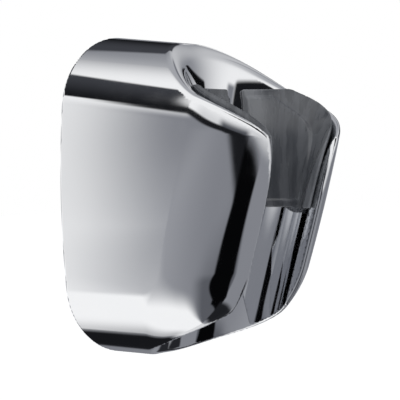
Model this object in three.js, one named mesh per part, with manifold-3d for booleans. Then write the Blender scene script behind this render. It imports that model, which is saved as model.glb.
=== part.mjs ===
// Wall-mounted hand-shower holder: a chromed housing with a tilted socket that is open at the front,
// a smoked plastic liner in the socket, and the hidden wall fixing behind.
// Millimetres, +Z up. The wall is the plane y = 0 and the holder stands in front of it at y < 0.
import * as THREE from 'three';
import { mergeVertices } from 'three/addons/utils/BufferGeometryUtils.js';
import Module from 'manifold-3d';

const wasm = await Module();
wasm.setup();

// ---- driving dimensions ---------------------------------------------------------------------
const WIDTH = 41.4;               // housing width at the wall
const HALF_HEIGHT = 37.05;        // half the housing height at the wall
const DEPTH = 52.2;               // wall to front face at mid height
const EDGE_RADIUS = 16;           // rounding of the block between its sides and its outline
const TOP_NOSE_RADIUS = 17.4;     // front top corner, seen from the side
const BOTTOM_NOSE_RADIUS = 20.2;  // front bottom corner, seen from the side
const TOP_SLOPE = degrees(7.9);   // the top falls towards the front
const BOTTOM_SLOPE = degrees(1.3); // the bottom rises towards the front
const TILT = degrees(17.1);       // the socket axis and the front face lean out at the top
const SIDE_DRAFT = degrees(-0.3); // negative: slightly wider towards the front
const SIDE_BOW_RADIUS = 215;      // the sides bulge slightly at mid height

const SOCKET_DISTANCE = 38.4;     // wall to socket axis at mid height
const SOCKET_RADIUS = 13.5;
const SOCKET_CONE = degrees(1);   // half angle, wider at the top
const SLOT_HALF_WIDTH = 8.9;
const MOUTH = { start: 2.1, height: 25.9, width: 12.1, reach: 0.98 }; // elliptic flare at the top
const OUTLET = { start: 32, height: 46, width: 46, reach: 0.9 };      // slight flare at the bottom
const AXIS_REACH = 58;            // cutting tools run this far along the socket axis, each way

const FIT_GAP = 0.3;              // clearance between neighbouring pieces
const LINER_WALL = 1.2;
const LINER_SETBACK = 1.9;        // liner edge behind the housing surface
const LINER_TOP = 23.4;
const LINER_BOTTOM = -3.2;
const LINER_BRIDGE = 5;           // height of the closed strip below the rear slots
const LINER_SLOT = { middle: 5.6, width: 4 };       // one each side of the rear tongue

const HOUSING_WALL = 2.8;
const CAVITY_DEPTH_TOP = 20.8;
const CAVITY_DEPTH_BOTTOM = 10.8;

const PLATE = { width: 31, height: 56, thickness: 3, corner: 6, hole: 3.2 };
const HOOK = { width: 14, bottom: 21, arm: 3, top: 30.6, gapNear: 3, gapFar: 6.8, front: 9.4 };
const TONGUE = { width: 14, bottom: -28.6, thickness: 4.5, front: 9.4 };
const GRUB = { depth: 5.2, radius: 1.5, length: 7.6, chamfer: 0.4, hexagon: 0.9, hexagonDepth: 2, boss: 3.8 };
const CONTACT_GAP = 0.1;          // between fixing pieces that bear on each other
const PLUG = { collarRadius: 4.6, collarHeight: 1, radius: 2.9, taper: 3, tipRadius: 2, length: 18 };
const SPLIT = { width: 0.9, from: 5, to: 15 };                        // expansion slot of the plug
const SCREW = { spacing: 26, shankRadius: 1.9, headRadius: 3.9, headHeight: 2.6, reach: 16.5, point: 4 };
const CROWN = { radius: 2.2, height: 1 };                             // rounded top of the screw head
const RECESS = { length: 3.6, width: 0.9, depth: 1.5 };               // cross recess of the screw head

const ARC_STEPS = 9;
const ROUND_STEPS = 48;
const SMALL_STEPS = 20;
const LONGEST_FACET = 8;          // on the block before its sides are bowed

// ---- small helpers ----------------------------------------------------------------------------
function degrees(angle) {
  return (angle * Math.PI) / 180;
}

/** Closed three.js geometry -> manifold solid. */
function solid(geometry, matrix) {
  const bare = new THREE.BufferGeometry();
  bare.setAttribute('position', geometry.getAttribute('position').clone());
  if (geometry.index) bare.setIndex(geometry.index.clone());
  if (matrix) bare.applyMatrix4(matrix);
  const welded = mergeVertices(bare, 1e-4);
  return new wasm.Manifold(new wasm.Mesh({
    numProp: 3,
    vertProperties: new Float32Array(welded.getAttribute('position').array),
    triVerts: new Uint32Array(welded.index.array),
  }));
}

/** Manifold solid -> named three.js mesh. */
function piece(name, shape, colour, roughness, metalness) {
  const mesh = shape.getMesh();
  const geometry = new THREE.BufferGeometry();
  geometry.setAttribute('position', new THREE.BufferAttribute(new Float32Array(mesh.vertProperties), 3));
  geometry.setIndex(new THREE.BufferAttribute(new Uint32Array(mesh.triVerts), 1));
  geometry.computeVertexNormals();
  const material = new THREE.MeshStandardMaterial({ color: colour, roughness, metalness });
  const node = new THREE.Mesh(geometry, material);
  node.name = name;
  return node;
}

function moved(x, y, z) {
  return new THREE.Matrix4().makeTranslation(x, y, z);
}

function block(xSize, ySize, zSize, x, y, z) {
  return solid(new THREE.BoxGeometry(xSize, ySize, zSize), moved(x, y, z));
}

/** Solid of revolution about the y direction; profile is a list of [radius, y]. */
function turned(profile, steps, matrix) {
  const points = profile.map(([radius, y]) => new THREE.Vector2(radius, y));
  return solid(new THREE.LatheGeometry(points, steps), matrix);
}

/** Polygon with every corner rounded by its own radius, as a list of Vector2 (anticlockwise). */
function roundedCorners(corners, radii) {
  const outline = [];
  corners.forEach((corner, i) => {
    const before = corners[(i + corners.length - 1) % corners.length];
    const after = corners[(i + 1) % corners.length];
    const toBefore = before.clone().sub(corner).normalize();
    const toAfter = after.clone().sub(corner).normalize();
    const halfAngle = Math.acos(THREE.MathUtils.clamp(toBefore.dot(toAfter), -1, 1)) / 2;
    const inward = toBefore.clone().add(toAfter).normalize();
    const centre = corner.clone().addScaledVector(inward, radii[i] / Math.sin(halfAngle));
    const turn = Math.PI - 2 * halfAngle;
    const middle = Math.atan2(-inward.y, -inward.x);
    for (let k = 0; k <= ARC_STEPS; k += 1) {
      const angle = middle + turn * (k / ARC_STEPS - 0.5);
      outline.push(new THREE.Vector2(
        centre.x + radii[i] * Math.cos(angle),
        centre.y + radii[i] * Math.sin(angle),
      ));
    }
  });
  return outline;
}

// Side-view coordinates (distance from the wall, height) plus a sideways axis -> part frame.
const FROM_SIDE_VIEW = new THREE.Matrix4().set(
  0, 0, -1, 0,
  -1, 0, 0, 0,
  0, 1, 0, 0,
  0, 0, 0, 1,
);

// Socket coordinates: x across, y along the socket axis (up), z towards the front -> part frame.
const FROM_SOCKET = new THREE.Matrix4()
  .makeTranslation(0, -SOCKET_DISTANCE, 0)
  .multiply(new THREE.Matrix4().makeRotationX(Math.PI / 2 + TILT));

// ---- the block: side outline extruded across, rounded all round ------------------------------
function sideCorners(inset) {
  const behind = -2 * EDGE_RADIUS;
  const topLine = HALF_HEIGHT - inset / Math.cos(TOP_SLOPE);
  const bottomLine = inset / Math.cos(BOTTOM_SLOPE) - HALF_HEIGHT;
  const topAt = (distance) => topLine - distance * Math.tan(TOP_SLOPE);
  const bottomAt = (distance) => bottomLine + distance * Math.tan(BOTTOM_SLOPE);
  const frontOffset = DEPTH - inset / Math.cos(TILT);
  const lean = Math.tan(TILT);
  const topFront = (frontOffset + lean * topAt(0)) / (1 + lean * Math.tan(TOP_SLOPE));
  const bottomFront = (frontOffset + lean * bottomAt(0)) / (1 - lean * Math.tan(BOTTOM_SLOPE));
  return [
    new THREE.Vector2(behind, bottomAt(behind)),
    new THREE.Vector2(bottomFront, bottomAt(bottomFront)),
    new THREE.Vector2(topFront, topAt(topFront)),
    new THREE.Vector2(behind, topAt(behind)),
  ];
}

/** The rounded block, every surface moved inwards by `skin`. */
function roundedBlock(skin) {
  const radius = EDGE_RADIUS - skin;
  const corners = sideCorners(EDGE_RADIUS);
  const radii = [0.3, BOTTOM_NOSE_RADIUS - EDGE_RADIUS, TOP_NOSE_RADIUS - EDGE_RADIUS, 0.3];
  const geometry = new THREE.ExtrudeGeometry(new THREE.Shape(roundedCorners(corners, radii)), {
    depth: WIDTH - 2 * EDGE_RADIUS,
    bevelEnabled: true,
    bevelSize: radius,
    bevelThickness: radius,
    bevelSegments: ARC_STEPS,
    steps: 1,
  });
  geometry.translate(0, 0, EDGE_RADIUS - WIDTH / 2);
  geometry.applyMatrix4(FROM_SIDE_VIEW);
  return solid(geometry).refineToLength(LONGEST_FACET).warp((point) => {
    const loss = -point[1] * Math.tan(SIDE_DRAFT) + point[2] ** 2 / (2 * SIDE_BOW_RADIUS);
    point[0] *= 1 - (2 * loss) / WIDTH;
  });
}

// ---- the socket: a cone with a flared mouth, and the slot in front of it ------------------------
function flareOffset(flare, past) {
  const u = THREE.MathUtils.clamp(past / flare.height, 0, flare.reach);
  return flare.width * (1 - Math.sqrt(1 - u * u));
}

/** Stations along the socket axis, close together where the wall curves. */
function axisStations() {
  const stations = [-AXIS_REACH];
  for (let k = 3; k >= 0; k -= 1) stations.push(-OUTLET.start - (k * 14) / 3);
  for (let k = 0; k <= ARC_STEPS; k += 1) {
    stations.push(MOUTH.start + MOUTH.height * Math.sin((Math.asin(MOUTH.reach) * k) / ARC_STEPS));
  }
  stations.push(AXIS_REACH);
  return stations;
}

function socketSpread(station) {
  const mouth = flareOffset(MOUTH, station - MOUTH.start);
  const outlet = flareOffset(OUTLET, -station - OUTLET.start);
  return mouth + outlet;
}

/** Space of the socket and its front slot, drawn in by `lining` all round. */
function socketSpace(lining) {
  const stations = axisStations();
  const bore = stations.map((s) => [
    SOCKET_RADIUS + Math.min(s, MOUTH.start) * Math.tan(SOCKET_CONE) + socketSpread(s) - lining, s,
  ]);
  const profile = [[0, -AXIS_REACH], ...bore, [0, AXIS_REACH]];
  const cone = turned(profile, ROUND_STEPS, FROM_SOCKET);
  const right = stations.map((s) => new THREE.Vector2(SLOT_HALF_WIDTH + socketSpread(s) - lining, s));
  const left = right.map((p) => new THREE.Vector2(-p.x, p.y)).reverse();
  const slot = new THREE.ExtrudeGeometry(new THREE.Shape([...right, ...left]), {
    depth: AXIS_REACH, bevelEnabled: false,
  });
  return cone.add(solid(slot, FROM_SOCKET));
}

// ---- housing ----------------------------------------------------------------------------------
/** Hollow behind the socket, open to the wall. */
function housingCavity() {
  const inner = roundedBlock(HOUSING_WALL);
  const reach = 2 * HALF_HEIGHT;
  const slope = (CAVITY_DEPTH_TOP - CAVITY_DEPTH_BOTTOM) / reach;
  const limit = new THREE.Shape([
    new THREE.Vector2(-reach, -reach),
    new THREE.Vector2(CAVITY_DEPTH_BOTTOM - slope * HALF_HEIGHT, -reach),
    new THREE.Vector2(CAVITY_DEPTH_TOP + slope * HALF_HEIGHT, reach),
    new THREE.Vector2(-reach, reach),
  ]);
  const geometry = new THREE.ExtrudeGeometry(limit, { depth: 2 * WIDTH, bevelEnabled: false });
  geometry.translate(0, 0, -WIDTH);
  return inner.intersect(solid(geometry, FROM_SIDE_VIEW));
}

function standing(radius, bottom, top, x, distance) {
  const cylinder = new THREE.CylinderGeometry(radius, radius, top - bottom, SMALL_STEPS);
  cylinder.rotateX(Math.PI / 2);
  return solid(cylinder, moved(x, -distance, (top + bottom) / 2));
}

function housing() {
  const skin = roundedBlock(0);
  const front = block(4 * WIDTH, 4 * DEPTH, 4 * HALF_HEIGHT, 0, -FIT_GAP - 2 * DEPTH, 0);
  const ribNear = HOOK.gapNear + FIT_GAP;
  const ribFar = HOOK.gapFar - FIT_GAP;
  const ribBottom = HOOK.bottom + HOOK.arm + FIT_GAP;
  const rib = block(HOOK.width, ribFar - ribNear, HALF_HEIGHT - ribBottom, 0, -(ribNear + ribFar) / 2,
    (HALF_HEIGHT + ribBottom) / 2);
  const boss = standing(GRUB.boss, -HALF_HEIGHT, TONGUE.bottom - 2 * FIT_GAP, 0, GRUB.depth);
  const hole = standing(GRUB.radius + FIT_GAP, -2 * HALF_HEIGHT, 0, 0, GRUB.depth);
  return skin
    .subtract(housingCavity())
    .add(rib.add(boss).intersect(skin))
    .subtract(hole)
    .subtract(socketSpace(0))
    .intersect(front);
}

// ---- liner ------------------------------------------------------------------------------------
function liner() {
  const sheet = socketSpace(FIT_GAP).subtract(socketSpace(FIT_GAP + LINER_WALL));
  const slab = block(2 * WIDTH, 3 * DEPTH, LINER_TOP - LINER_BOTTOM, 0, -SOCKET_DISTANCE,
    (LINER_TOP + LINER_BOTTOM) / 2);
  const slot = (x) => block(LINER_SLOT.width, SOCKET_DISTANCE, HALF_HEIGHT, x, -SOCKET_DISTANCE / 2,
    LINER_BOTTOM + LINER_BRIDGE + HALF_HEIGHT / 2);
  return sheet.intersect(roundedBlock(LINER_SETBACK)).intersect(slab)
    .subtract(slot(LINER_SLOT.middle))
    .subtract(slot(-LINER_SLOT.middle));
}

// ---- wall fixing ------------------------------------------------------------------------------
function roundedPlate(width, height, thickness, radius) {
  const corners = [[-1, -1], [1, -1], [1, 1], [-1, 1]]
    .map(([x, z]) => new THREE.Vector2((x * width) / 2, (z * height) / 2));
  const shape = new THREE.Shape(roundedCorners(corners, corners.map(() => radius)));
  const geometry = new THREE.ExtrudeGeometry(shape, { depth: thickness, bevelEnabled: false });
  geometry.rotateX(Math.PI / 2);
  return solid(geometry);
}

function fixingHole(z) {
  const cylinder = new THREE.CylinderGeometry(PLATE.hole, PLATE.hole, 4 * PLATE.thickness, SMALL_STEPS);
  return solid(cylinder, moved(0, 0, z));
}

function wallBracket() {
  const plate = roundedPlate(PLATE.width, PLATE.height, PLATE.thickness, PLATE.corner);
  const root = PLATE.thickness - 1;
  const arm = block(HOOK.width, HOOK.front - root, HOOK.arm, 0, -(HOOK.front + root) / 2,
    HOOK.bottom + HOOK.arm / 2);
  const lip = block(HOOK.width, HOOK.front - HOOK.gapFar, HOOK.top - HOOK.bottom, 0,
    -(HOOK.front + HOOK.gapFar) / 2, (HOOK.top + HOOK.bottom) / 2);
  const tongue = block(TONGUE.width, TONGUE.front - root, TONGUE.thickness, 0,
    -(TONGUE.front + root) / 2, TONGUE.bottom + TONGUE.thickness / 2);
  return plate.add(arm).add(lip).add(tongue)
    .subtract(fixingHole(SCREW.spacing / 2))
    .subtract(fixingHole(-SCREW.spacing / 2));
}

/** Nylon plug through the bracket into the wall: a collar on the plate, a split body, a blind bore. */
function wallPlug(z) {
  const seat = -PLATE.thickness - CONTACT_GAP;
  const face = seat - PLUG.collarHeight;
  const bore = SCREW.shankRadius + FIT_GAP;
  const profile = [[bore, face], [PLUG.collarRadius, face], [PLUG.collarRadius, seat], [PLUG.radius, seat],
    [PLUG.radius, PLUG.length - PLUG.taper], [PLUG.tipRadius, PLUG.length], [0, PLUG.length],
    [0, SCREW.reach + FIT_GAP], [bore, SCREW.reach - SCREW.point + FIT_GAP], [bore, face]];
  const middle = (SPLIT.from + SPLIT.to) / 2;
  const split = block(SPLIT.width, SPLIT.to - SPLIT.from, 3 * PLUG.radius, 0, middle, z);
  return turned(profile, SMALL_STEPS, moved(0, 0, z)).subtract(split);
}

/** Pan-head wall screw with a cross recess; the head is towards the front, on the plug's collar. */
function wallScrew(z) {
  const under = -PLATE.thickness - PLUG.collarHeight - 2 * CONTACT_GAP;
  const top = under - SCREW.headHeight;
  const profile = [[0, top], [CROWN.radius, top], [SCREW.headRadius, top + CROWN.height],
    [SCREW.headRadius, under], [SCREW.shankRadius, under],
    [SCREW.shankRadius, SCREW.reach - SCREW.point], [0, SCREW.reach]];
  const recess = block(RECESS.length, 2 * RECESS.depth, RECESS.width, 0, top, z)
    .add(block(RECESS.width, 2 * RECESS.depth, RECESS.length, 0, top, z));
  return turned(profile, SMALL_STEPS, moved(0, 0, z)).subtract(recess);
}

/** Headless hexagon-socket screw that clamps the housing up against the bracket tongue. */
function grubScrew() {
  const top = TONGUE.bottom - CONTACT_GAP;
  const bottom = top - GRUB.length;
  const profile = [[0, bottom], [GRUB.radius - GRUB.chamfer, bottom], [GRUB.radius, bottom + GRUB.chamfer],
    [GRUB.radius, top - GRUB.chamfer], [GRUB.radius - GRUB.chamfer, top], [0, top]];
  const turnUp = moved(0, -GRUB.depth, 0).multiply(new THREE.Matrix4().makeRotationX(Math.PI / 2));
  const hexagon = new THREE.CylinderGeometry(GRUB.hexagon, GRUB.hexagon, 2 * GRUB.hexagonDepth, 6);
  hexagon.rotateX(Math.PI / 2);
  return turned(profile, SMALL_STEPS, turnUp).subtract(solid(hexagon, moved(0, -GRUB.depth, bottom)));
}

// ---- assembly -----------------------------------------------------------------------------------
const holder = new THREE.Group();
holder.name = 'hand_shower_holder';
holder.add(
  piece('housing', housing(), 0xd8dadd, 0.08, 1),
  piece('socket_liner', liner(), 0x45484c, 0.35, 0),
  piece('wall_bracket', wallBracket(), 0x2b2d30, 0.6, 0),
  piece('wall_screw_top', wallScrew(SCREW.spacing / 2), 0xa9abad, 0.35, 1),
  piece('wall_screw_bottom', wallScrew(-SCREW.spacing / 2), 0xa9abad, 0.35, 1),
  piece('wall_plug_top', wallPlug(SCREW.spacing / 2), 0xb9bbb8, 0.6, 0),
  piece('wall_plug_bottom', wallPlug(-SCREW.spacing / 2), 0xb9bbb8, 0.6, 0),
  piece('grub_screw', grubScrew(), 0x55585c, 0.4, 1),
);

export default holder;
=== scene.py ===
"""Looks of a wall-mounted hand-shower holder: a chromed housing, a smoked liner and the hidden wall fixing.

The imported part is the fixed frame. Its housing and liner are replaced by finer surfaces of the same form,
found as the zero level of a distance-like field. The wall fixing keeps its CAD shape, with softened edges.
Lengths inside the field are in millimetres: x across, q away from the wall (minus Y), z up.
"""
import math

import bpy
import numpy as np
from mathutils import Matrix, Vector

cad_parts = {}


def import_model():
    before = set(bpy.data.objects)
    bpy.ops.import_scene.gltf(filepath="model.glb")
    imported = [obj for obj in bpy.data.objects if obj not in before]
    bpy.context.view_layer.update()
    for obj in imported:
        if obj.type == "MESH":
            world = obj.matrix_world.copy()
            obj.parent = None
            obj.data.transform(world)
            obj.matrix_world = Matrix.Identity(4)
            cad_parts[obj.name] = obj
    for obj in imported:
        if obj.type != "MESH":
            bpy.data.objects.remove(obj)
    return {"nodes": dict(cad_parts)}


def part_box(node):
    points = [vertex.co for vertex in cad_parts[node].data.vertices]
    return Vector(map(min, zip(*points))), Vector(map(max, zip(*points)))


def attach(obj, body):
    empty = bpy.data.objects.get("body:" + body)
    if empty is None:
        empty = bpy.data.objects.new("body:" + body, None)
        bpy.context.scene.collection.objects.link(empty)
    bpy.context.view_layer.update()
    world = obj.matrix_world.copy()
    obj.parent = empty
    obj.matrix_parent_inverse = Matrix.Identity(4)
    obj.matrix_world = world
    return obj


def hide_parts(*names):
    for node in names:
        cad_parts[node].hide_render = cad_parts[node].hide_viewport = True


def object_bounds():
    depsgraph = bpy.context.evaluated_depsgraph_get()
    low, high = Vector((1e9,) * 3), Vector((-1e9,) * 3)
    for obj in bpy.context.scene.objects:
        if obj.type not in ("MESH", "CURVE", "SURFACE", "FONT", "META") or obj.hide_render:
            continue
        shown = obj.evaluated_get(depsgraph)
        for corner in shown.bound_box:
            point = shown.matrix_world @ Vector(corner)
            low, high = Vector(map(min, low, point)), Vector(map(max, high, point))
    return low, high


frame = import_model()
CAD_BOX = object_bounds()

MM = 0.001
_, HOUSING_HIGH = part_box("housing")
LINER_LOW, LINER_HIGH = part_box("socket_liner")

# ---- form of the housing, as in the CAD part --------------------------------------------------
HALF_WIDTH = 20.7
TOP_HEIGHT = HOUSING_HIGH.z / MM
BOTTOM_HEIGHT = 37.05
DEPTH = 52.2
EDGE_RADIUS = 16.0
TOP_NOSE_RADIUS = 17.4
BOTTOM_NOSE_RADIUS = 20.2
TOP_SLOPE = math.radians(7.9)
BOTTOM_SLOPE = math.radians(1.3)
TILT = math.radians(17.1)
SIDE_DRAFT = math.radians(-0.3)
SIDE_BOW_RADIUS = 215.0

SOCKET_DISTANCE = 38.4
SOCKET_RADIUS = 13.5
SOCKET_CONE = math.radians(1.0)
SLOT_HALF_WIDTH = 8.9
MOUTH_START, MOUTH_HEIGHT, MOUTH_WIDTH = 2.1, 25.9, 12.1
OUTLET_START, OUTLET_HEIGHT, OUTLET_WIDTH = 32.0, 46.0, 46.0
FLARE_REACH = 0.98

LIP_ROUND = 0.9                # lip of the socket opening
MOUTH_ROUND = 3.5              # the same lip at the top
MOUTH_BLEND_FROM, MOUTH_BLEND_TO = 6.0, 24.0
RIM_ROUND = 0.45               # moulded edges on the wall side
HOLE_ROUND = 0.25
CAVITY_ROUND = 2.0

WALL = 2.8
CAVITY_TOP, CAVITY_BOTTOM = 20.8, 10.8
BACK_GAP = 0.3                 # the rim stands this far off the wall
RIB = {"half_width": 7.0, "near": 3.3, "far": 6.5, "bottom": 24.3}
BOSS = {"distance": 5.2, "radius": 3.8, "top": -29.2, "hole": 1.8}

LINER_GAP = 0.3
LINER_WALL = 1.2
LINER_SETBACK = 1.9
LINER_TOP = LINER_HIGH.z / MM
LINER_BOTTOM = LINER_LOW.z / MM
LINER_BRIDGE = 5.0
LINER_SLOT_MIDDLE, LINER_SLOT_WIDTH = 5.6, 4.0
LINER_ROUND = 0.35
BORDER_WIDTH, BORDER_HEIGHT = 3.4, 1.3    # plain border round the raised pad inside the liner
PAD_HEIGHT, PAD_BEVEL = 0.5, 0.9

HOUSING_GRID = 0.5
LINER_GRID = 0.3
MARGIN_CELLS = 2               # the grid runs this many cells past the CAD box
NEWTON_STEPS = 4
SLOPE_STEP = 0.02              # half the distance over which a field's slope is measured
LEAST_SLOPE = 0.2              # squared; keeps the Newton steps short where a field is flat
LEAST_LENGTH = 1e-9            # of a normal before it is scaled to one

SOFT_EDGE_WIDTH = 0.3 * MM     # bevel on the bracket, which keeps its CAD mesh
SOFT_EDGE_SEGMENTS = 2
SOFT_EDGE_ANGLE = math.radians(40.0)

# ---- materials: the colour of each varies between two tones -------------------------------------------
CHROME_TONES = (0.87, 0.875, 0.885, 1.0), (0.83, 0.84, 0.86, 1.0)
SMOKE_TONES = (0.078, 0.084, 0.096, 1.0), (0.15, 0.158, 0.175, 1.0)
# the lighter tone of the painted reflection on the liner
REFLECTION_TONE = (0.27, 0.28, 0.3, 1.0)
NYLON_TONES = (0.012, 0.012, 0.012, 1.0), (0.03, 0.03, 0.03, 1.0)
ZINC_TONES = (0.5, 0.5, 0.5, 1.0), (0.66, 0.66, 0.64, 1.0)
PLUG_TONES = (0.42, 0.42, 0.42, 1.0), (0.52, 0.52, 0.52, 1.0)
OXIDE_TONES = (0.06, 0.06, 0.06, 1.0), (0.12, 0.12, 0.12, 1.0)
NOISE_LOW, NOISE_HIGH = 0.3, 0.7               # most of a noise lies between these
CHROME_HAZE_LOW, CHROME_HAZE_HIGH = 0.35, 0.75
STREAK_STRETCH = (1.0, 1.0, 0.12)              # the liner's streaks run up and down
REFLECTION_SIDE_IN = (6.0 * MM, 7.5 * MM)         # the painted reflection fades in beside the rear slots and out towards the sides
REFLECTION_SIDE_OUT = (9.2 * MM, 12.0 * MM)       # and out towards the sides
REFLECTION_HEIGHT, REFLECTION_SHARE = (4.0 * MM, 22.0 * MM), 0.8
LINER_GLOSS = 0.6
PLUG_TRANSLUCENCE, PLUG_SCATTER = 0.1, 1.0 * MM

# ---- camera ------------------------------------------------------------------------------------------
VIEW_AZIMUTH = math.radians(-48.0)
VIEW_ELEVATION = math.radians(1.4)
VIEW_ROLL = math.radians(-1.15)
VIEW_DISTANCE = 0.2764
VIEW_AIM = Vector((0.0, -0.0284, 0.0))
FRAMING = (-0.00313, -0.00122)   # the picture's middle stands this far right of and above the aim
SENSOR = 36.0
LENS = 111.9
NEAREST = 0.01

# ---- floor -------------------------------------------------------------------------------------------
FLOOR_DROP = 0.35              # the holder hangs this far above it
FLOOR_REACH = 8.0
FLOOR_LEVEL = 0.9
FLOOR_ROUGHNESS = 0.9
FLOOR_GLOW = 0.5


# ---- studio ------------------------------------------------------------------------------------------
# Only reflections see it. A card is a patch of sky at one level of light. Its spans are in degrees.
def between(low, high, soft):
    """A span with equally soft ends: fades in, stays, fades out."""
    return (low - soft, low + soft, high - soft, high + soft)


def beyond(starts, full):
    return (starts, full, None, None)


def before(until, ends):
    return (None, None, until, ends)


DEGREE = math.degrees(1.0)     # in a radian
OVERHEAD_NORMAL = (0.076, -0.431, 0.899)   # the overhead light is the half space on this side
OVERHEAD_EDGE = (-1.0, 1.0)
LEFT_HALF = (60.0, 64.0)       # the side panel ends at this azimuth
VISIBLE_LEVEL = 1.0            # what the camera itself sees behind the object
COOLING = (-0.05, 0.18)        # dim light has less red and more blue by these shares

# overhead light
EDGE_LEVEL, MAIN_LEVEL, EDGE_FADE = 0.72, 0.98, (2.0, 22.0)
ASIDE = dict(level=0.28, azimuth=beyond(15.0, 95.0))
ASIDE_LEFT_AT_TOP, ASIDE_FADE = 0.3, (20.0, 60.0)
BACK_FROM, BACK_TO, BACK_FADE = 1.0, 0.22, (-30.0, 20.0)
BACK = dict(behind=between(-60.0, 50.0, 12.0))
ZENITH = dict(level=0.42, elevation=beyond(36.0, 64.0), azimuth=beyond(-30.0, 15.0))

# side panel: a grey wall on the left with a lit edge far back, above a white floor
PANEL_FAR, PANEL_NEAR, PANEL_FADE = 0.36, 0.25, (-150.0, -60.0)
PANEL_TOP = dict(level=0.25, elevation=beyond(-5.0, 9.0))
LIT_EDGE = dict(level=0.88, turned=before(-140.2, -133.7))
LIT_EDGE_BEND = {"from": -5.0, "above": 0.05, "below": -0.35}
LIT_CORNER = dict(level=1.05, share=0.7, elevation=beyond(11.0, 22.0), azimuth=before(-134.0, -126.0))
LOW_SHADE = dict(level=0.115, elevation=before(-42.0, -24.0), azimuth=beyond(-86.0, -60.0))
WHITE_FLOOR_LEVEL = 1.03
WHITE_FLOOR_SLOPE = {"from": -130.0, "slope": 0.68, "more_before": -107.0, "more": 0.2}
WHITE_FLOOR_SOFT = dict(steeper=before(-46.0, -13.0), azimuth=before(-98.0, -72.0))
WHITE_FLOOR_SHARP = dict(slant=before(-25.0, -14.0), azimuth=before(-139.0, -129.0))
FRONT_WALL = dict(level=0.26, azimuth=between(-8.0, 60.0, 2.0))

# dark strip along the edge of the overhead light, with a soft shade above its near end
STRIP_BEND = {"from": -78.0, "slope": 0.1}
STRIP_SHADE = dict(level=0.1, bent=(-2.0, 1.0, 4.5, 14.5), azimuth=between(-80.0, -36.0, 6.0))
STRIP = dict(level=0.012, bent=between(-3.6, 3.0, 1.4), azimuth=between(-139.0, -35.0, 2.0))

# black card low in front, its foot, the dark corner above it and a grey one beside that
CARD_LEFT = {"middle": -52.0, "turning": -46.0, "bend": 0.042}
CARD_RIGHT = {"middle": -13.0, "turning": -43.0, "bend": 0.028}
CARD_BEND_ENDS = 340.0         # in squared degrees away from the turning elevation
CARD_SLOPE, CORNER_SLOPE, CORNER_SIDE_SLOPE, TABLE_SLOPE = 0.24, 0.4, 0.9, -0.12
FRONT_CARDS = (
    dict(level=0.002, past_left=beyond(-2.5, 2.5), past_right=before(-2.0, 2.0),
         card_height=between(-78.0, -28.8, 1.3)),
    dict(level=0.015, azimuth=between(-12.0, 55.0, 5.0), elevation=between(-86.0, -67.0, 2.5)),
    dict(level=0.01, corner_height=before(24.5, 33.0), corner_side=beyond(-9.0, -3.0),
         azimuth=before(6.0, 12.0)),
    dict(level=0.23, azimuth=between(9.0, 20.0, 3.0), elevation=between(1.0, 20.0, 3.0)),
)

# on the right: a black table and a grey one, a lit and a dark post, a strip of ceiling
RIGHT_CARDS = (
    dict(level=0.004, azimuth=between(63.0, 103.0, 2.0), table_height=before(5.9, 8.3),
         elevation=beyond(1.8, 4.2)),
    dict(level=0.2, azimuth=between(84.0, 112.0, 3.0), elevation=between(-12.5, -2.5, 1.5)),
    dict(level=1.0, azimuth=between(117.5, 126.5, 1.5), elevation=between(7.0, 26.5, 1.5)),
    dict(level=0.008, azimuth=between(107.5, 117.5, 1.5), elevation=between(7.0, 26.5, 1.5)),
    dict(level=0.2, azimuth=between(72.0, 120.0, 4.0), elevation=between(52.0, 64.0, 2.5)),
)

# the dark room behind the object
ROOM_LOW, ROOM_HIGH, ROOM_FADE = 0.01, 0.055, (21.0, 43.0)
ROOM_SIDE = {"from": -41.0, "height": 31.3, "slope": -0.488}
ROOM_SKIRTING = {"from": 46.0, "slope": -1.2}
ROOM_LEFT = dict(room_side=beyond(-0.6, 0.4), behind=before(-2.0, 2.0), elevation=between(20.9, 41.4, 0.9))
ROOM_RIGHT = dict(behind=between(0.0, 56.0, 2.0), elevation=before(44.3, 46.7),
                  above_skirting=beyond(17.8, 20.2))

# low on the right: dusk, dark furniture, and the floor where it is bright
LOW_CARDS = (
    dict(level=0.1, share=0.6, behind=(-28.0, 2.0, 5.0, 40.0), elevation=between(-74.0, -42.0, 6.0)),
    dict(level=0.01, behind=between(3.0, 36.0, 4.5), elevation=between(-64.0, -32.0, 2.5)),
    dict(level=0.012, behind=between(30.0, 50.0, 3.0), elevation=between(-51.0, -33.0, 2.5)),
    dict(level=0.022, azimuth=between(68.0, 110.0, 3.0), elevation=between(-68.0, -27.0, 3.0)),
    dict(level=0.02, azimuth=between(36.0, 68.0, 3.0), elevation=between(-52.0, -40.0, 2.5)),
    dict(level=0.018, azimuth=between(36.0, 90.0, 3.0), elevation=between(-83.0, -68.0, 2.5)),
    dict(level=0.8, behind=between(-2.0, 92.0, 6.0), elevation=before(-72.0, -64.0)),
    dict(level=0.55, behind=between(40.0, 68.0, 2.5), elevation=between(-68.0, -51.0, 3.0)),
)


# ==== the field ====================================================================================
def smooth_max(a, b, radius):
    """The larger of two fields, with the edge between them rounded to the radius."""
    u = np.maximum(a + radius, 0.0)
    v = np.maximum(b + radius, 0.0)
    return np.minimum(-radius, np.maximum(a, b)) + np.sqrt(u * u + v * v)


def smooth_min(a, b, radius):
    return -smooth_max(-a, -b, radius)


def ramp(value, start, end):
    t = np.clip((value - start) / (end - start), 0.0, 1.0)
    return t * t * (3.0 - 2.0 * t)


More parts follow.
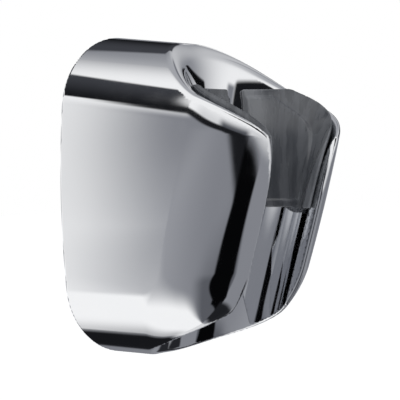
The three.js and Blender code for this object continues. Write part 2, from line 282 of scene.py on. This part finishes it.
def block(x, q, z):
    """The rounded block: flat-fronted from the side, bowed sides, every outline edge rolled over."""
    half = HALF_WIDTH - q * math.tan(SIDE_DRAFT) - z * z / (2.0 * SIDE_BOW_RADIUS)
    side = (np.abs(x) - half) * math.cos(SIDE_DRAFT)
    top = (z - TOP_HEIGHT + q * math.tan(TOP_SLOPE)) * math.cos(TOP_SLOPE)
    bottom = (-z - BOTTOM_HEIGHT + q * math.tan(BOTTOM_SLOPE)) * math.cos(BOTTOM_SLOPE)
    front = (q - DEPTH - z * math.tan(TILT)) * math.cos(TILT)
    outline = smooth_max(smooth_max(top, front, TOP_NOSE_RADIUS), bottom, BOTTOM_NOSE_RADIUS)
    return smooth_max(outline, side, EDGE_RADIUS)


def flare(past, height, width):
    """How far the socket wall curls outwards, a quarter ellipse, this far past where it starts."""
    u = np.clip(past / height, 0.0, FLARE_REACH)
    return width * (1.0 - np.sqrt(1.0 - u * u))


def along_socket(q, z):
    return z * math.cos(TILT) + (q - SOCKET_DISTANCE) * math.sin(TILT)


def socket_space(x, q, z):
    """Negative inside the tilted socket and the slot in front of it."""
    forward = (q - SOCKET_DISTANCE - z * math.tan(TILT)) * math.cos(TILT)
    along = along_socket(q, z)
    radius = SOCKET_RADIUS + np.minimum(along, MOUTH_START) * math.tan(SOCKET_CONE)
    bore = np.hypot(x, forward) - radius
    slot = np.where(forward > 0.0, np.abs(x), np.hypot(x, forward)) - SLOT_HALF_WIDTH
    mouth = flare(along - MOUTH_START, MOUTH_HEIGHT, MOUTH_WIDTH)
    outlet = flare(-along - OUTLET_START, OUTLET_HEIGHT, OUTLET_WIDTH)
    return np.minimum(bore, slot) - mouth - outlet


def cavity(x, q, z):
    share = (z + BOTTOM_HEIGHT) / (TOP_HEIGHT + BOTTOM_HEIGHT)
    depth = CAVITY_BOTTOM + (CAVITY_TOP - CAVITY_BOTTOM) * share
    return smooth_max(block(x, q, z) + WALL, q - depth, CAVITY_ROUND)


def hook_rib(x, q, z):
    middle = (RIB["near"] + RIB["far"]) / 2.0
    thick = np.abs(q - middle) - (RIB["far"] - RIB["near"]) / 2.0
    return np.maximum(np.maximum(np.abs(x) - RIB["half_width"], thick), RIB["bottom"] - z)


def screw_boss(x, q, z):
    return np.maximum(np.hypot(x, q - BOSS["distance"]) - BOSS["radius"], z - BOSS["top"])


def housing_field(x, q, z):
    skin = block(x, q, z)
    lip = LIP_ROUND + (MOUTH_ROUND - LIP_ROUND) * ramp(z, MOUTH_BLEND_FROM, MOUTH_BLEND_TO)
    shell = smooth_max(skin, -socket_space(x, q, z), lip)
    kept = smooth_min(hook_rib(x, q, z), screw_boss(x, q, z), RIM_ROUND)
    hollow = smooth_max(cavity(x, q, z), -kept, RIM_ROUND)
    around_hole = BOSS["hole"] - np.hypot(x, q - BOSS["distance"])
    body = smooth_max(shell, -hollow, RIM_ROUND)
    body = smooth_max(body, np.minimum(around_hole, -z), HOLE_ROUND)
    return smooth_max(body, BACK_GAP - q, RIM_ROUND)


def liner_field(x, q, z):
    space = socket_space(x, q, z)
    front = block(x, q, z) + LINER_SETBACK
    border = np.maximum(front + BORDER_WIDTH, np.maximum(z - LINER_TOP, LINER_BOTTOM - z) + BORDER_HEIGHT)
    wall = LINER_WALL + PAD_HEIGHT * ramp(-border, 0.0, PAD_BEVEL)
    sheet = smooth_max(space + LINER_GAP, -(space + LINER_GAP + wall), LINER_ROUND)
    body = smooth_max(sheet, front, LINER_ROUND)
    body = smooth_max(body, z - LINER_TOP, LINER_ROUND)
    body = smooth_max(body, LINER_BOTTOM - z, LINER_ROUND)
    behind = q - SOCKET_DISTANCE
    slot = np.abs(np.abs(x) - LINER_SLOT_MIDDLE) - LINER_SLOT_WIDTH / 2.0
    split = np.maximum(slot, LINER_BOTTOM + LINER_BRIDGE - z)
    return smooth_max(body, -np.maximum(split, behind), LINER_ROUND)


# ==== from a field to a mesh ==========================================================================
def gradient(field, points, step=SLOPE_STEP):
    slopes = []
    for axis in range(3):
        offset = np.zeros(3)
        offset[axis] = step
        ahead = field(*(points + offset).T)
        behind = field(*(points - offset).T)
        slopes.append((ahead - behind) / (2.0 * step))
    return np.stack(slopes, axis=-1)


def surface_net(field, low, high, step):
    """Vertices and quads of the field's zero level: one vertex in each grid cell that it crosses."""
    margin = MARGIN_CELLS * step
    axes = [np.arange(a - margin, b + margin + step, step) for a, b in zip(low, high)]
    grid = np.meshgrid(*axes, indexing="ij")
    value = field(*grid)
    cells = tuple(n - 1 for n in value.shape)
    corners = [(i, j, k) for i in (0, 1) for j in (0, 1) for k in (0, 1)]

    def corner(array, c):
        return array[tuple(slice(c[a], c[a] + cells[a]) for a in range(3))]

    filled = sum((corner(value, c) < 0).astype(np.int8) for c in corners)
    crossed = (filled > 0) & (filled < len(corners))
    number = np.full(cells, -1, np.int64)
    number[crossed] = np.arange(crossed.sum())
    start = np.stack(np.nonzero(crossed), axis=-1)
    total = np.zeros(start.shape)
    count = np.zeros(len(start))
    for c in corners:
        for axis in range(3):
            if c[axis]:
                continue
            d = tuple(c[a] + (a == axis) for a in range(3))
            first = corner(value, c)[crossed]
            second = corner(value, d)[crossed]
            cuts = (first < 0) != (second < 0)
            share = np.where(cuts, first / np.where(cuts, first - second, 1.0), 0.0)
            place = np.array(c, float) + share[:, None] * (np.arange(3) == axis)
            total += place * cuts[:, None]
            count += cuts
    origin = np.array([a[0] for a in axes])
    vertices = origin + (start + total / count[:, None]) * step
    quads = []
    for axis in range(3):
        across, up = (axis + 1) % 3, (axis + 2) % 3
        near = [slice(1, n) for n in cells]
        near[axis] = slice(0, cells[axis])
        far = list(near)
        far[axis] = slice(1, cells[axis] + 1)
        enters = value[tuple(near)] < 0
        leaves = value[tuple(far)] < 0
        edge = enters != leaves
        ring = []
        for back_across, back_up in ((1, 1), (0, 1), (0, 0), (1, 0)):
            window = [slice(1, n) for n in cells]
            window[axis] = slice(0, cells[axis])
            window[across] = slice(1 - back_across, cells[across] - back_across)
            window[up] = slice(1 - back_up, cells[up] - back_up)
            ring.append(number[tuple(window)][edge])
        quad = np.stack(ring, axis=-1)
        outward = enters[edge]
        quad[~outward] = quad[~outward][:, ::-1]
        quads.append(quad)
    return vertices, np.concatenate(quads)


def mesh_from_field(name, field, low, high, step):
    """A closed mesh object on the field's zero level, with the field's own slopes as its normals."""
    points, quads = surface_net(field, low, high, step)
    for _ in range(NEWTON_STEPS):
        slope = gradient(field, points)
        size = np.maximum((slope * slope).sum(axis=1), LEAST_SLOPE)
        move = (field(*points.T) / size)[:, None] * slope
        points = points - np.clip(move, -step / 2, step / 2)
    normals = gradient(field, points)
    normals /= np.maximum(np.linalg.norm(normals, axis=1, keepdims=True), LEAST_LENGTH)
    to_frame = np.array([1.0, -1.0, 1.0])
    mesh = bpy.data.meshes.new(name)
    mesh.from_pydata((points * to_frame * MM).tolist(), [], quads[:, ::-1].tolist())
    mesh.shade_smooth()
    mesh.normals_split_custom_set_from_vertices((normals * to_frame).tolist())
    mesh.update()
    item = bpy.data.objects.new(name, mesh)
    bpy.context.scene.collection.objects.link(item)
    return item


def in_field(low, high):
    """A CAD box in the field's millimetres."""
    return ((low.x / MM, -high.y / MM, low.z / MM), (high.x / MM, -low.y / MM, high.z / MM))


# ==== node helpers =====================================================================================
MIX_SHARE, MIX_FIRST, MIX_SECOND, MIX_RESULT = 0, 6, 7, 2      # the colour sockets of a Mix node


class Nodes:
    """Short calls for building a node tree."""

    def __init__(self, tree):
        self.tree = tree
        tree.nodes.clear()

    def add(self, kind, inputs=(), **settings):
        node = self.tree.nodes.new(kind)
        for key, value in settings.items():
            setattr(node, key, value)
        for key, value in dict(inputs).items():
            self.feed(node.inputs[key], value)
        return node

    def feed(self, socket, value):
        if isinstance(value, bpy.types.NodeSocket):
            self.tree.links.new(value, socket)
        else:
            socket.default_value = value

    def math(self, operation, *values):
        node = self.add("ShaderNodeMath", operation=operation)
        for socket, value in zip(node.inputs, values):
            self.feed(socket, value)
        return node.outputs[0]

    def mix(self, share, first, second):
        node = self.add("ShaderNodeMix", data_type="RGBA")
        self.feed(node.inputs[MIX_SHARE], share)
        self.feed(node.inputs[MIX_FIRST], first)
        self.feed(node.inputs[MIX_SECOND], second)
        return node.outputs[MIX_RESULT]

    def spread(self, value, low, high, to_low, to_high):
        node = self.add("ShaderNodeMapRange", interpolation_type="SMOOTHSTEP")
        for socket, item in zip(node.inputs, (value, low, high, to_low, to_high)):
            self.feed(socket, item)
        return node.outputs[0]

    def noise(self, coordinates, scale, detail=3.0, roughness=0.5):
        node = self.add("ShaderNodeTexNoise", {"Scale": scale, "Detail": detail, "Roughness": roughness})
        self.feed(node.inputs["Vector"], coordinates)
        return node.outputs[0]


def new_material(name):
    material = bpy.data.materials.new(name)
    material.use_nodes = True
    nodes = Nodes(material.node_tree)
    shader = nodes.add("ShaderNodeBsdfPrincipled")
    output = nodes.add("ShaderNodeOutputMaterial")
    nodes.feed(output.inputs["Surface"], shader.outputs[0])
    place = nodes.add("ShaderNodeTexCoord").outputs["Object"]
    return material, nodes, shader, place


def grey(level):
    return (level, level, level, 1.0)


# ==== materials ========================================================================================
def vary_colour(nodes, shader, noise, tones):
    nodes.feed(shader.inputs["Base Color"], nodes.mix(noise, *tones))


def vary_roughness(nodes, shader, noise, smooth, rough, low=NOISE_LOW, high=NOISE_HIGH):
    nodes.feed(shader.inputs["Roughness"], nodes.spread(noise, low, high, smooth, rough))


def emboss(nodes, shader, noise, strength, depth):
    bump = nodes.add("ShaderNodeBump", {"Strength": strength, "Distance": depth, "Height": noise})
    nodes.feed(shader.inputs["Normal"], bump.outputs[0])


def chrome():
    """Polished plating with a faint cloud in its tint and a little haze."""
    material, nodes, shader, place = new_material("polished_chrome")
    vary_colour(nodes, shader, nodes.noise(place, scale=60.0, detail=2.0), CHROME_TONES)
    nodes.feed(shader.inputs["Metallic"], 1.0)
    haze = nodes.noise(place, scale=140.0, detail=4.0)
    vary_roughness(nodes, shader, haze, smooth=0.035, rough=0.07, low=CHROME_HAZE_LOW, high=CHROME_HAZE_HIGH)
    emboss(nodes, shader, nodes.noise(place, scale=900.0, detail=2.0), strength=0.01, depth=0.02 * MM)
    return material


def smoked_plastic():
    """Dark moulded plastic with upright streaks, and a painted reflection: a lighter tone high up beside the
    rear slots.
    """
    material, nodes, shader, place = new_material("smoked_liner_plastic")
    stretch = nodes.add("ShaderNodeMapping", {"Vector": place, "Scale": STREAK_STRETCH})
    flow = nodes.noise(stretch.outputs[0], scale=420.0, detail=3.0)
    streaks = nodes.spread(flow, NOISE_LOW, NOISE_HIGH, 0.0, 1.0)
    smoke = nodes.mix(streaks, *SMOKE_TONES)
    x, _, z = nodes.add("ShaderNodeSeparateXYZ", {"Vector": place}).outputs
    # painted reflection: a lighter tone mixed into the base colour high up beside the rear slots
    aside = nodes.math("ABSOLUTE", x)
    past_slot = nodes.spread(aside, *REFLECTION_SIDE_IN, 0.0, 1.0)
    near_slot = nodes.spread(aside, *REFLECTION_SIDE_OUT, 1.0, 0.0)
    high_up = nodes.spread(z, *REFLECTION_HEIGHT, 0.0, REFLECTION_SHARE)
    painted_reflection = nodes.math("MULTIPLY", nodes.math("MULTIPLY", past_slot, near_slot), high_up)
    nodes.feed(shader.inputs["Base Color"], nodes.mix(painted_reflection, smoke, REFLECTION_TONE))
    vary_roughness(nodes, shader, streaks, smooth=0.22, rough=0.34)
    emboss(nodes, shader, nodes.noise(place, scale=1800.0, detail=3.0), strength=0.08, depth=0.1 * MM)
    nodes.feed(shader.inputs["Specular IOR Level"], LINER_GLOSS)
    return material


def black_nylon():
    """Matt glass-filled nylon of the bracket."""
    material, nodes, shader, place = new_material("black_glass_filled_nylon")
    grain = nodes.noise(place, scale=1500.0, detail=5.0, roughness=0.65)
    vary_colour(nodes, shader, grain, NYLON_TONES)
    vary_roughness(nodes, shader, grain, smooth=0.45, rough=0.65)
    emboss(nodes, shader, grain, strength=0.35, depth=0.1 * MM)
    return material


def plated_steel():
    """Zinc-plated steel of the screws."""
    material, nodes, shader, place = new_material("zinc_plated_steel")
    fine = nodes.noise(place, scale=2500.0, detail=4.0)
    vary_colour(nodes, shader, nodes.noise(place, scale=300.0, detail=3.0), ZINC_TONES)
    nodes.feed(shader.inputs["Metallic"], 1.0)
    vary_roughness(nodes, shader, fine, smooth=0.25, rough=0.42)
    emboss(nodes, shader, fine, strength=0.15, depth=0.05 * MM)
    return material


def pale_nylon():
    """Slightly translucent nylon of the plugs."""
    material, nodes, shader, place = new_material("grey_nylon")
    fine = nodes.noise(place, scale=1200.0, detail=4.0)
    vary_colour(nodes, shader, nodes.noise(place, scale=150.0, detail=2.0), PLUG_TONES)
    vary_roughness(nodes, shader, fine, smooth=0.45, rough=0.6)
    nodes.feed(shader.inputs["Subsurface Weight"], PLUG_TRANSLUCENCE)
    nodes.feed(shader.inputs["Subsurface Scale"], PLUG_SCATTER)
    emboss(nodes, shader, fine, strength=0.15, depth=0.1 * MM)
    return material


def oxide_steel():
    """Blackened steel of the grub screw."""
    material, nodes, shader, place = new_material("black_oxide_steel")
    fine = nodes.noise(place, scale=2500.0, detail=4.0)
    vary_colour(nodes, shader, fine, OXIDE_TONES)
    nodes.feed(shader.inputs["Metallic"], 1.0)
    vary_roughness(nodes, shader, fine, smooth=0.3, rough=0.45)
    emboss(nodes, shader, fine, strength=0.15, depth=0.05 * MM)
    return material


# ==== pieces =============================================================================================
def dress(item, material):
    item.data.materials.clear()
    item.data.materials.append(material)


def fine_piece(name, node, field, grid, material):
    low, high = in_field(*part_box(node))
    item = mesh_from_field(name, field, low, high, grid)
    dress(item, material)
    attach(item, "root")
    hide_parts(node)


def soften_edges(item, width):
    bevel = item.modifiers.new("soft_edges", "BEVEL")
    bevel.width = width
    bevel.segments = SOFT_EDGE_SEGMENTS
    bevel.limit_method = "ANGLE"
    bevel.angle_limit = SOFT_EDGE_ANGLE
    bevel.harden_normals = False


# ==== studio ===============================================================================================
def cool(level):
    """Studio light of this level: white when bright, slightly blue when dim."""
    red, blue = COOLING
    dim = (1.0 - min(level, 1.0)) ** 2
    return (level * (1.0 + red * dim), level, level * (1.0 + blue * dim), 1.0)


class Sky(Nodes):
    """Light by direction, in degrees.

    Azimuth is 0 in front and grows towards +X, behind is 0 at the back, and elevation is 0 when level.
    """

    def __init__(self, tree):
        super().__init__(tree)
        direction = self.add("ShaderNodeTexCoord").outputs["Generated"]
        x, y, z = self.add("ShaderNodeSeparateXYZ", {"Vector": direction}).outputs
        self.azimuth = self.times(self.math("ARCTAN2", x, self.times(y, -1.0)), DEGREE)
        self.behind = self.times(self.math("ARCTAN2", x, y), DEGREE)
        self.elevation = self.times(self.math("ARCSINE", z), DEGREE)
        tilted = self.add("ShaderNodeVectorMath", {0: direction, 1: OVERHEAD_NORMAL}, operation="DOT_PRODUCT")
        self.above = self.times(self.math("ARCSINE", tilted.outputs["Value"]), DEGREE)
        self.panel_measures()
        self.card_measures()
        self.room_measures()

    def panel_measures(self):
        """Azimuth past the lit edge, height over the white floor's slanted end, angle past the bent strip."""
        raised = self.plus(self.elevation, -LIT_EDGE_BEND["from"])
        higher = self.times(raised, LIT_EDGE_BEND["above"])
        lower = self.times(raised, LIT_EDGE_BEND["below"])
        self.turned = self.plus(self.azimuth, self.largest(higher, lower))
        slope = WHITE_FLOOR_SLOPE
        past = self.plus(self.azimuth, -slope["from"])
        self.slant = self.plus(self.elevation, self.times(past, slope["slope"]))
        far = self.math("MINIMUM", self.plus(self.azimuth, -slope["more_before"]), 0.0)
        self.steeper = self.plus(self.slant, self.times(far, slope["more"]))
        near = self.largest(self.plus(self.azimuth, -STRIP_BEND["from"]), 0.0)
        self.bent = self.plus(self.above, self.times(near, STRIP_BEND["slope"]))

    def card_measures(self):
        self.past_left = self.past_curve(**CARD_LEFT)
        self.past_right = self.past_curve(**CARD_RIGHT)
        self.card_height = self.sloping(CARD_SLOPE)
        self.corner_height = self.sloping(CORNER_SLOPE)
        self.corner_side = self.sloping(CORNER_SIDE_SLOPE)
        self.table_height = self.sloping(TABLE_SLOPE)

    def room_measures(self):
        higher = self.times(self.plus(self.elevation, -ROOM_SIDE["height"]), ROOM_SIDE["slope"])
        self.room_side = self.plus(self.plus(self.behind, -ROOM_SIDE["from"]), higher)
        past = self.largest(self.plus(self.behind, -ROOM_SKIRTING["from"]), 0.0)
        self.above_skirting = self.plus(self.elevation, self.times(past, ROOM_SKIRTING["slope"]))

    def times(self, *values):
        product = values[0]
        for value in values[1:]:
            product = self.math("MULTIPLY", product, value)
        return product

    def plus(self, first, second):
        return self.math("ADD", first, second)

    def largest(self, first, second):
        return self.math("MAXIMUM", first, second)

    def rise(self, value, starts, full):
        return self.spread(value, starts, full, 0.0, 1.0)

    def fall(self, value, until, ends):
        return self.spread(value, until, ends, 1.0, 0.0)

    def sloping(self, slope):
        """Elevation, measured from a line that falls this much for each degree of azimuth."""
        return self.plus(self.elevation, self.times(self.azimuth, slope))

    def past_curve(self, middle, turning, bend):
        """Azimuth past a card's edge, which bows sideways away from its turning elevation."""
        away = self.math("POWER", self.plus(self.elevation, -turning), 2.0)
        away = self.math("MINIMUM", away, CARD_BEND_ENDS)
        return self.plus(self.azimuth, self.times(self.plus(self.times(away, bend), middle), -1.0))

    def inside(self, spans):
        """How much of a direction lies in all the spans, which are named after this sky's measures."""
        shares = []
        for name, (starts, full, until, ends) in spans.items():
            value = getattr(self, name)
            if starts is not None:
                shares.append(self.rise(value, starts, full))
            if until is not None:
                shares.append(self.fall(value, until, ends))
        return self.times(*shares)

    def lay(self, colour, card, dimmed=1.0):
        """The colour with a card in front of it."""
        spans = {name: span for name, span in card.items() if name not in ("level", "share")}
        share = self.times(self.inside(spans), card.get("share", 1.0), dimmed)
        return self.mix(share, colour, cool(card["level"]))

    def lay_all(self, colour, cards):
        for card in cards:
            colour = self.lay(colour, card)
        return colour


def overhead_light(sky):
    """Large soft light above, fading to the right, to the back and towards the zenith."""
    light = sky.mix(sky.rise(sky.above, *EDGE_FADE), cool(EDGE_LEVEL), cool(MAIN_LEVEL))
    lower = sky.spread(sky.elevation, *ASIDE_FADE, 1.0, ASIDE_LEFT_AT_TOP)
    light = sky.lay(light, ASIDE, lower)
    back = sky.mix(sky.rise(sky.behind, *BACK_FADE), cool(BACK_FROM), cool(BACK_TO))
    light = sky.mix(sky.inside(BACK), light, back)
    return sky.lay(light, ZENITH)


def side_panel(sky):
    """Grey wall on the left with a light behind its edge, over a white floor."""
    panel = sky.mix(sky.rise(sky.azimuth, *PANEL_FADE), cool(PANEL_FAR), cool(PANEL_NEAR))
    panel = sky.lay_all(panel, (PANEL_TOP, LIT_EDGE, LIT_CORNER, LOW_SHADE))
    white = sky.largest(sky.inside(WHITE_FLOOR_SOFT), sky.inside(WHITE_FLOOR_SHARP))
    panel = sky.mix(white, panel, cool(WHITE_FLOOR_LEVEL))
    return sky.lay(panel, FRONT_WALL)


def dark_room(sky, colour):
    """The room behind the object, lighter towards its ceiling."""
    room = sky.mix(sky.rise(sky.elevation, *ROOM_FADE), cool(ROOM_LOW), cool(ROOM_HIGH))
    return sky.mix(sky.largest(sky.inside(ROOM_LEFT), sky.inside(ROOM_RIGHT)), colour, room)


def studio_world():
    world = bpy.data.worlds.new("studio")
    bpy.context.scene.world = world
    world.use_nodes = True
    sky = Sky(world.node_tree)
    under = sky.times(sky.fall(sky.azimuth, *LEFT_HALF), sky.fall(sky.above, *OVERHEAD_EDGE))
    colour = sky.mix(under, overhead_light(sky), side_panel(sky))
    colour = sky.lay_all(colour, (STRIP_SHADE, STRIP) + FRONT_CARDS + RIGHT_CARDS)
    colour = dark_room(sky, colour)
    colour = sky.lay_all(colour, LOW_CARDS)
    seen = sky.add("ShaderNodeLightPath").outputs["Is Camera Ray"]
    colour = sky.mix(seen, colour, grey(VISIBLE_LEVEL))
    background = sky.add("ShaderNodeBackground", {"Color": colour, "Strength": 1.0})
    output = sky.add("ShaderNodeOutputWorld")
    sky.feed(output.inputs["Surface"], background.outputs[0])


def floor():
    size = FLOOR_REACH
    level = CAD_BOX[0][2] - FLOOR_DROP
    mesh = bpy.data.meshes.new("floor")
    mesh.from_pydata([(-size, -size, level), (size, -size, level), (size, size, level), (-size, size, level)],
                     [], [(0, 1, 2, 3)])
    item = bpy.data.objects.new("floor", mesh)
    bpy.context.scene.collection.objects.link(item)
    material, nodes, shader, _ = new_material("pale_floor")
    nodes.feed(shader.inputs["Base Color"], grey(FLOOR_LEVEL))
    nodes.feed(shader.inputs["Roughness"], FLOOR_ROUGHNESS)
    nodes.feed(shader.inputs["Emission Color"], grey(1.0))
    nodes.feed(shader.inputs["Emission Strength"], FLOOR_GLOW)
    item.data.materials.append(material)
    item.visible_glossy = False


def camera():
    data = bpy.data.cameras.new("camera")
    data.sensor_width = SENSOR
    data.lens = LENS
    data.clip_start = NEAREST
    item = bpy.data.objects.new("camera", data)
    bpy.context.scene.collection.objects.link(item)
    back = Vector((math.sin(VIEW_AZIMUTH) * math.cos(VIEW_ELEVATION),
                   -math.cos(VIEW_AZIMUTH) * math.cos(VIEW_ELEVATION),
                   math.sin(VIEW_ELEVATION)))
    level = Vector((math.cos(VIEW_AZIMUTH), math.sin(VIEW_AZIMUTH), 0.0))
    upright = back.cross(level)
    right = level * math.cos(VIEW_ROLL) + upright * math.sin(VIEW_ROLL)
    up = upright * math.cos(VIEW_ROLL) - level * math.sin(VIEW_ROLL)
    position = VIEW_AIM + back * VIEW_DISTANCE
    aim = VIEW_AIM + right * FRAMING[0] + up * FRAMING[1]
    forward = (aim - position).normalized()
    right = forward.cross(up).normalized()
    up = right.cross(forward)
    turn = Matrix((right, up, -forward)).transposed().to_4x4()
    item.matrix_world = Matrix.Translation(position) @ turn
    bpy.context.scene.camera = item


# ==== the model =========================================================================================
camera()
studio_world()
floor()

fine_piece("housing_shell", "housing", housing_field, HOUSING_GRID, chrome())
fine_piece("liner_shell", "socket_liner", liner_field, LINER_GRID, smoked_plastic())

nodes = frame["nodes"]
dress(nodes["wall_bracket"], black_nylon())
soften_edges(nodes["wall_bracket"], SOFT_EDGE_WIDTH)
steel = plated_steel()
nylon = pale_nylon()
for place in ("top", "bottom"):
    dress(nodes["wall_screw_" + place], steel)
    dress(nodes["wall_plug_" + place], nylon)
dress(nodes["grub_screw"], oxide_steel())

bpy.context.scene.view_settings.view_transform = "Standard"
